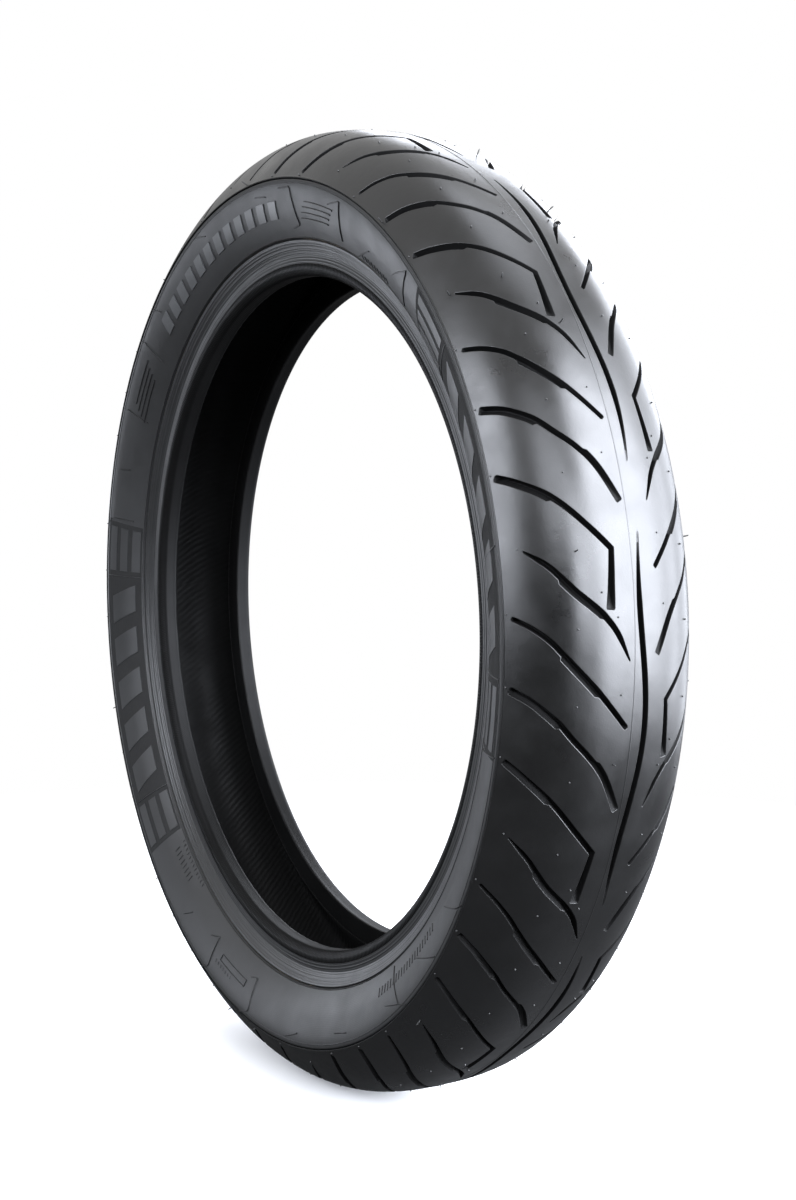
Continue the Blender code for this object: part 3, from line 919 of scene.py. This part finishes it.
class Graph:
    """Short calls for building nodes."""

    def __init__(self, tree):
        self.tree = tree

    def node(self, kind, inputs=None, **settings):
        made = self.tree.nodes.new(kind)
        for key, value in settings.items():
            setattr(made, key, value)
        for key, value in (inputs or {}).items():
            self.put(made.inputs[key], value)
        return made

    def put(self, socket, value):
        if hasattr(value, "is_output"):
            self.tree.links.new(value, socket)
        else:
            socket.default_value = value

    def place(self):
        return self.node("ShaderNodeTexCoord").outputs["Object"]

    def noise(self, scale, detail=3.0, roughness=0.55):
        made = self.node("ShaderNodeTexNoise", {"Scale": scale, "Detail": detail, "Roughness": roughness,
                                                "Vector": self.place()})
        return made.outputs["Fac"]

    def math(self, operation, a, b=0.0):
        made = self.node("ShaderNodeMath", operation=operation)
        self.put(made.inputs[0], a)
        self.put(made.inputs[1], b)
        return made.outputs[0]

    def spread(self, value, low, high, to_low=0.0, to_high=1.0):
        made = self.node("ShaderNodeMapRange", {"Value": value, "From Min": low, "From Max": high,
                                                "To Min": to_low, "To Max": to_high})
        return made.outputs["Result"]

    def blend(self, share, a, b):
        made = self.node("ShaderNodeMix", data_type="RGBA")
        self.put(made.inputs["Factor"], share)
        self.put(made.inputs[6], a)
        self.put(made.inputs[7], b)
        return made.outputs[2]

    def polar(self):
        """Angle round the axle in radians, radius and y in metres."""
        x, y, z = self.node("ShaderNodeSeparateXYZ", {"Vector": self.place()}).outputs
        return self.math("ARCTAN2", z, x), self.distance(x, z), y

    def distance(self, a, b):
        square = self.math("ADD", self.math("MULTIPLY", a, a), self.math("MULTIPLY", b, b))
        return self.math("SQRT", square)

    def rings(self, pitch):
        """Height of fine turned rings."""
        _, radius, _ = self.polar()
        return self.math("SINE", self.math("MULTIPLY", radius, 2 * math.pi / pitch))

    def bump(self, height, strength, distance, below=None):
        made = self.node("ShaderNodeBump", {"Strength": strength, "Distance": distance, "Height": height})
        if below is not None:
            self.put(made.inputs["Normal"], below)
        return made.outputs["Normal"]

    def mix(self, share, a, b):
        made = self.node("ShaderNodeMixShader")
        for socket, value in zip(made.inputs, (share, a, b)):
            self.put(socket, value)
        return made.outputs[0]

    def camera_ray(self):
        return self.node("ShaderNodeLightPath").outputs["Is Camera Ray"]


class Look(Graph):
    """A material with one principled shader."""

    def __init__(self, name, specular=0.5):
        self.mat = bpy.data.materials.new(name)
        self.mat.use_nodes = True
        super().__init__(self.mat.node_tree)
        self.shader = self.tree.nodes["Principled BSDF"]
        self.shader.inputs["Specular IOR Level"].default_value = specular

    def finish(self, colour, roughness, normal, metallic=0.0):
        self.put(self.shader.inputs["Base Color"], colour)
        self.put(self.shader.inputs["Roughness"], roughness)
        self.put(self.shader.inputs["Normal"], normal)
        self.shader.inputs["Metallic"].default_value = metallic
        return self.mat


def grey(value, warm=0.0):
    return (value * (1 + warm), value, value * (1 - warm), 1.0)


def rubber(graph, dark, light, rough_low, rough_high, grain=1100.0, grain_depth=0.00006):
    """Colour, roughness and normal shared by the moulded rubbers: clouds, fine grain, faint scuffs."""
    clouds = graph.spread(graph.noise(14.0, 5.0, 0.6), 0.35, 0.68)
    specks = graph.spread(graph.noise(420.0, 2.0), 0.45, 0.75)
    share = graph.math("ADD", graph.math("MULTIPLY", clouds, 0.7), graph.math("MULTIPLY", specks, 0.3))
    colour = graph.blend(share, dark, light)
    roughness = graph.spread(graph.noise(46.0, 4.0), 0.3, 0.7, rough_low, rough_high)
    fine = graph.noise(grain, 3.0, 0.6)
    medium = graph.noise(150.0, 2.0)
    normal = graph.bump(medium, 0.25, grain_depth * 4)
    normal = graph.bump(fine, 0.6, grain_depth, normal)
    return colour, roughness, normal


def plain_rubber(name, dark, light, rough_low, rough_high, specular=0.5, grain=1100.0):
    graph = Look(name, specular)
    return graph.finish(*rubber(graph, dark, light, rough_low, rough_high, grain))


def material_tread():
    graph = Look("tread rubber")
    colour, roughness, normal = rubber(graph, grey(0.0014), grey(0.003), 0.27, 0.37)
    smudge = graph.spread(graph.noise(17.0, 4.0, 0.65), 0.35, 0.7, -0.03, 0.05)
    return graph.finish(colour, graph.math("ADD", roughness, smudge), normal)


def material_groove():
    return plain_rubber("groove rubber", grey(0.0014), grey(0.003), 0.6, 0.7, specular=0.15)


def material_sidewall():
    graph = Look("sidewall rubber")
    colour, roughness, normal = rubber(graph, grey(0.008, -0.02), grey(0.013, -0.02), 0.41, 0.49)
    return graph.finish(colour, roughness, graph.bump(graph.rings(0.0011), 0.12, 0.00005, normal))


def material_marks():
    return plain_rubber("moulded mark rubber", grey(0.040, -0.02), grey(0.060, -0.03), 0.30, 0.40)


# Painted shade: darker than the sidewall to stand for the small shadows that the thin raised lines cast;
# the ticks, box and rings share this colour.
def material_lines_painted_shade():
    return plain_rubber("mould line rubber with painted shade", grey(0.002), grey(0.004), 0.42, 0.52)


def material_bars():
    return plain_rubber("panel bar rubber", grey(0.009, -0.02), grey(0.015, -0.03), 0.40, 0.50)


def material_panel():
    graph = Look("matt panel rubber", specular=0.25)
    colour, roughness, normal = rubber(graph, grey(0.007), grey(0.011), 0.7, 0.8)
    knurl = graph.math("MULTIPLY", woven(graph, 45, 0.0011, 270), woven(graph, -45, 0.0011, 270))
    return graph.finish(colour, roughness, graph.bump(knurl, 0.5, 0.0001, normal))


def material_stubs():
    return plain_rubber("vent stub rubber", grey(0.016), grey(0.026), 0.4, 0.5, grain=1600.0)


def material_bead():
    graph = Look("rim strip rubber")
    colour, roughness, normal = rubber(graph, grey(0.005, -0.03), grey(0.009, -0.04), 0.34, 0.42)
    return graph.finish(colour, roughness, graph.bump(graph.rings(0.0007), 0.2, 0.00008, normal))


def woven(graph, angle, pitch, radius_mm):
    """Height of slanted cords laid round the axle."""
    turn, _, y = graph.polar()
    across = graph.math("MULTIPLY", turn, radius_mm * MM * math.cos(math.radians(angle)))
    across = graph.math("ADD", across, graph.math("MULTIPLY", y, math.sin(math.radians(angle))))
    wobble = graph.math("MULTIPLY", graph.noise(60.0, 2.0), pitch * 0.8)
    across = graph.math("ADD", across, wobble)
    return graph.math("SINE", graph.math("MULTIPLY", across, 2 * math.pi / pitch))


def material_seat():
    graph = Look("chafer rubber", specular=0.06)
    colour, roughness, normal = rubber(graph, grey(0.002), grey(0.004), 0.38, 0.46)
    cloth = graph.math("ADD", woven(graph, 42, 0.0014, 229), woven(graph, -42, 0.0014, 229))
    return graph.finish(colour, roughness, graph.bump(cloth, 0.3, 0.00012, normal))


def material_liner():
    graph = Look("liner rubber", specular=0.2)
    colour, roughness, normal = rubber(graph, grey(0.003), grey(0.005), 0.5, 0.65)
    normal = graph.bump(woven(graph, 35, 0.0042, 290), 0.35, 0.00025, normal)
    return graph.finish(colour, roughness, normal)


def material_cord(name, light, dark, angle, pitch, radius_mm):
    graph = Look(name)
    cords = woven(graph, angle, pitch, radius_mm)
    patches = graph.noise(70.0, 3.0)
    clean = graph.spread(patches, 0.3, 0.6, 0.7, 1.0)
    share = graph.math("MULTIPLY", graph.spread(cords, -0.6, 0.7), clean)
    colour = graph.blend(share, dark, light)
    normal = graph.bump(cords, 0.7, 0.0003)
    return graph.finish(colour, graph.spread(patches, 0.3, 0.7, 0.6, 0.85), normal)


def material_base():
    return plain_rubber("cushion rubber", grey(0.018), grey(0.028), 0.5, 0.6)


def material_wire():
    graph = Look("plated bead wire")
    patches = graph.noise(120.0, 3.0)
    colour = graph.blend(graph.spread(patches, 0.3, 0.7), (0.50, 0.36, 0.20, 1), (0.66, 0.52, 0.34, 1))
    _, radius, y = graph.polar()
    across = graph.math("ADD", radius, y)
    strands = graph.math("SINE", graph.math("MULTIPLY", across, 2 * math.pi / 0.001))
    roughness = graph.spread(patches, 0.3, 0.7, 0.28, 0.42)
    return graph.finish(colour, roughness, graph.bump(strands, 0.8, 0.0003), metallic=1.0)


def dress_hidden_layers():
    """Materials of the CAD layers that the smooth skins cover."""
    base = material_base()
    tan, dark_tan = (0.36, 0.27, 0.17, 1), (0.07, 0.055, 0.04, 1)
    straw, dark_straw = (0.44, 0.35, 0.21, 1), (0.09, 0.07, 0.05, 1)
    looks = {
        "carcass_ply_outer": material_cord("outer ply cords", tan, dark_tan, 35, 0.0011, 312),
        "carcass_ply_inner": material_cord("inner ply cords", tan, dark_tan, -35, 0.0011, 311),
        "breaker_ply_outer": material_cord("outer breaker cords", straw, dark_straw, 25, 0.0013, 315),
        "breaker_ply_inner": material_cord("inner breaker cords", straw, dark_straw, -25, 0.0013, 314),
        "tread_base": base,
    }
    wrap = material_cord("core wrap cloth", (0.35, 0.32, 0.27, 1), (0.12, 0.11, 0.09, 1), 60, 0.0012, 235)
    wire = material_wire()
    for side in ("left", "right"):
        looks["shoulder_wedge_" + side] = base
        looks["bead_filler_" + side] = base
        looks["bead_wrap_" + side] = wrap
        looks["bead_core_" + side] = wire
    for name, look in looks.items():
        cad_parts[name].data.materials.clear()
        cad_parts[name].data.materials.append(look)


# ---------------------------------------------------------------- studio

CAMERA_DIRECTION = Vector((0.8725, -0.4810, 0.0872))
CAMERA_DISTANCE = 1.210
LENS = 52.04
SHIFT = (0.046, 0.0102)


def build_camera():
    data = bpy.data.cameras.new("camera")
    camera = bpy.data.objects.new("camera", data)
    bpy.context.scene.collection.objects.link(camera)
    camera.location = CAMERA_DIRECTION * CAMERA_DISTANCE
    camera.rotation_mode = "QUATERNION"
    camera.rotation_quaternion = (-CAMERA_DIRECTION).to_track_quat("-Z", "Y")
    data.lens = LENS
    data.sensor_width = 36
    data.shift_x, data.shift_y = SHIFT
    data.clip_start, data.clip_end = 0.01, 100
    bpy.context.scene.camera = camera


COOL = (0.87, 0.91, 1.0)
# Soft boxes that face the tyre's middle: name, place, width and height, radiance
LIGHTS = [
    ("key_right", (1.9, 1.15, 0.7), (1.35, 2.7), 25),
    ("back_right", (1.2, 2.2, 0.2), (1.2, 1.7), 9),
    ("back", (0.2, 2.6, 0.6), (3.0, 2.7), 5),
    ("back_left", (-1.8, 2.1, 1.4), (2.0, 1.8), 7),
    ("top", (0.15, 0.6, 2.2), (1.2, 1.2), 3.5),
    ("left_low", (-2.3, -0.6, -0.05), (2.6, 0.5), 4.4),
    ("right", (2.2, 0.0, 0.5), (1.0, 1.1), 17),
    ("front_high", (1.9, -1.0, 1.1), (1.3, 0.9), 8.5),
    ("front", (0.3, -2.3, 0.8), (0.9, 1.4), 18),
]


def area_light(name, place, size, radiance):
    data = bpy.data.lights.new(name, "AREA")
    data.shape = "RECTANGLE"
    data.size, data.size_y = size
    data.energy = radiance * math.pi * size[0] * size[1]
    data.color = COOL
    light = bpy.data.objects.new(name, data)
    bpy.context.scene.collection.objects.link(light)
    light.location = place
    light.rotation_mode = "QUATERNION"
    light.rotation_quaternion = (-Vector(place)).to_track_quat("-Z", "Y")


# Light of the surroundings against height: (start, end, value below, value above), added up
WORLD_STEPS = [(-0.25, -0.05, 0.2, 0.05), (0.1, 0.5, 0.0, 1.25)]


def build_world():
    """Pale surroundings: white where seen, brighter from above as light."""
    world = bpy.data.worlds.new("studio")
    bpy.context.scene.world = world
    world.use_nodes = True
    graph = Graph(world.node_tree)
    graph.tree.nodes.clear()
    direction = graph.node("ShaderNodeTexCoord").outputs["Generated"]
    height = graph.node("ShaderNodeSeparateXYZ", {"Vector": direction}).outputs["Z"]
    light = graph.math("ADD", *(graph.spread(height, *step) for step in WORLD_STEPS))
    lit = graph.node("ShaderNodeBackground", {"Strength": light}).outputs[0]
    seen = graph.node("ShaderNodeBackground", {"Color": (1, 1, 1, 1), "Strength": 1.0}).outputs[0]
    graph.node("ShaderNodeOutputWorld", {"Surface": graph.mix(graph.camera_ray(), lit, seen)})


FLOOR_RINGS = (0.5, 1.0, 2.0, 3.0)
FLOOR_SIDES = 96
FLOOR_GAP = 0.0004         # under the tyre
FLOOR_FADE = (0.25, 1.1)   # radii between which the floor runs out into the surroundings


def build_floor():
    bm = bmesh.new()
    z = CAD_BOX[0].z - FLOOR_GAP
    centre = bm.verts.new((0, 0, z))
    angles = [k * 2 * math.pi / FLOOR_SIDES for k in range(FLOOR_SIDES)]
    before = None
    for radius in FLOOR_RINGS:
        loop = [bm.verts.new((radius * math.cos(a), radius * math.sin(a), z)) for a in angles]
        for k in range(FLOOR_SIDES):
            after = (k + 1) % FLOOR_SIDES
            if before:
                bm.faces.new((before[k], before[after], loop[after], loop[k]))
            else:
                bm.faces.new((centre, loop[k], loop[after]))
        before = loop
    mesh = bpy.data.meshes.new("floor")
    bm.to_mesh(mesh)
    bm.free()
    floor = bpy.data.objects.new("floor", mesh)
    bpy.context.scene.collection.objects.link(floor)
    graph = Look("pale floor")
    x, y, _ = graph.node("ShaderNodeSeparateXYZ", {"Vector": graph.place()}).outputs
    fade = graph.spread(graph.distance(x, y), *FLOOR_FADE)
    pale = graph.blend(graph.noise(3.0), grey(0.84), grey(0.88))
    colour = graph.blend(graph.camera_ray(), grey(0.04), pale)
    graph.finish(colour, 0.9, graph.bump(graph.noise(300.0), 0.1, 0.0001))
    clear = graph.node("ShaderNodeBsdfTransparent").outputs[0]
    surface = graph.tree.nodes["Material Output"].inputs["Surface"]
    graph.put(surface, graph.mix(fade, graph.shader.outputs[0], clear))
    mesh.materials.append(graph.mat)


def build_studio():
    build_camera()
    build_world()
    build_floor()
    for light in LIGHTS:
        area_light(*light)
    bpy.context.scene.view_settings.view_transform = "Standard"


def main():
    build_tread()
    build_stubs()
    for side, flip, sign in (("left", False, 1), ("right", True, -1)):
        build_sidewall(side, flip)
        build_rim_strip(side, flip)
        build_seat(side, flip)
        build_panels(side, sign)
        build_marks(side, sign)
    build_liner()
    dress_hidden_layers()
    build_studio()


main()
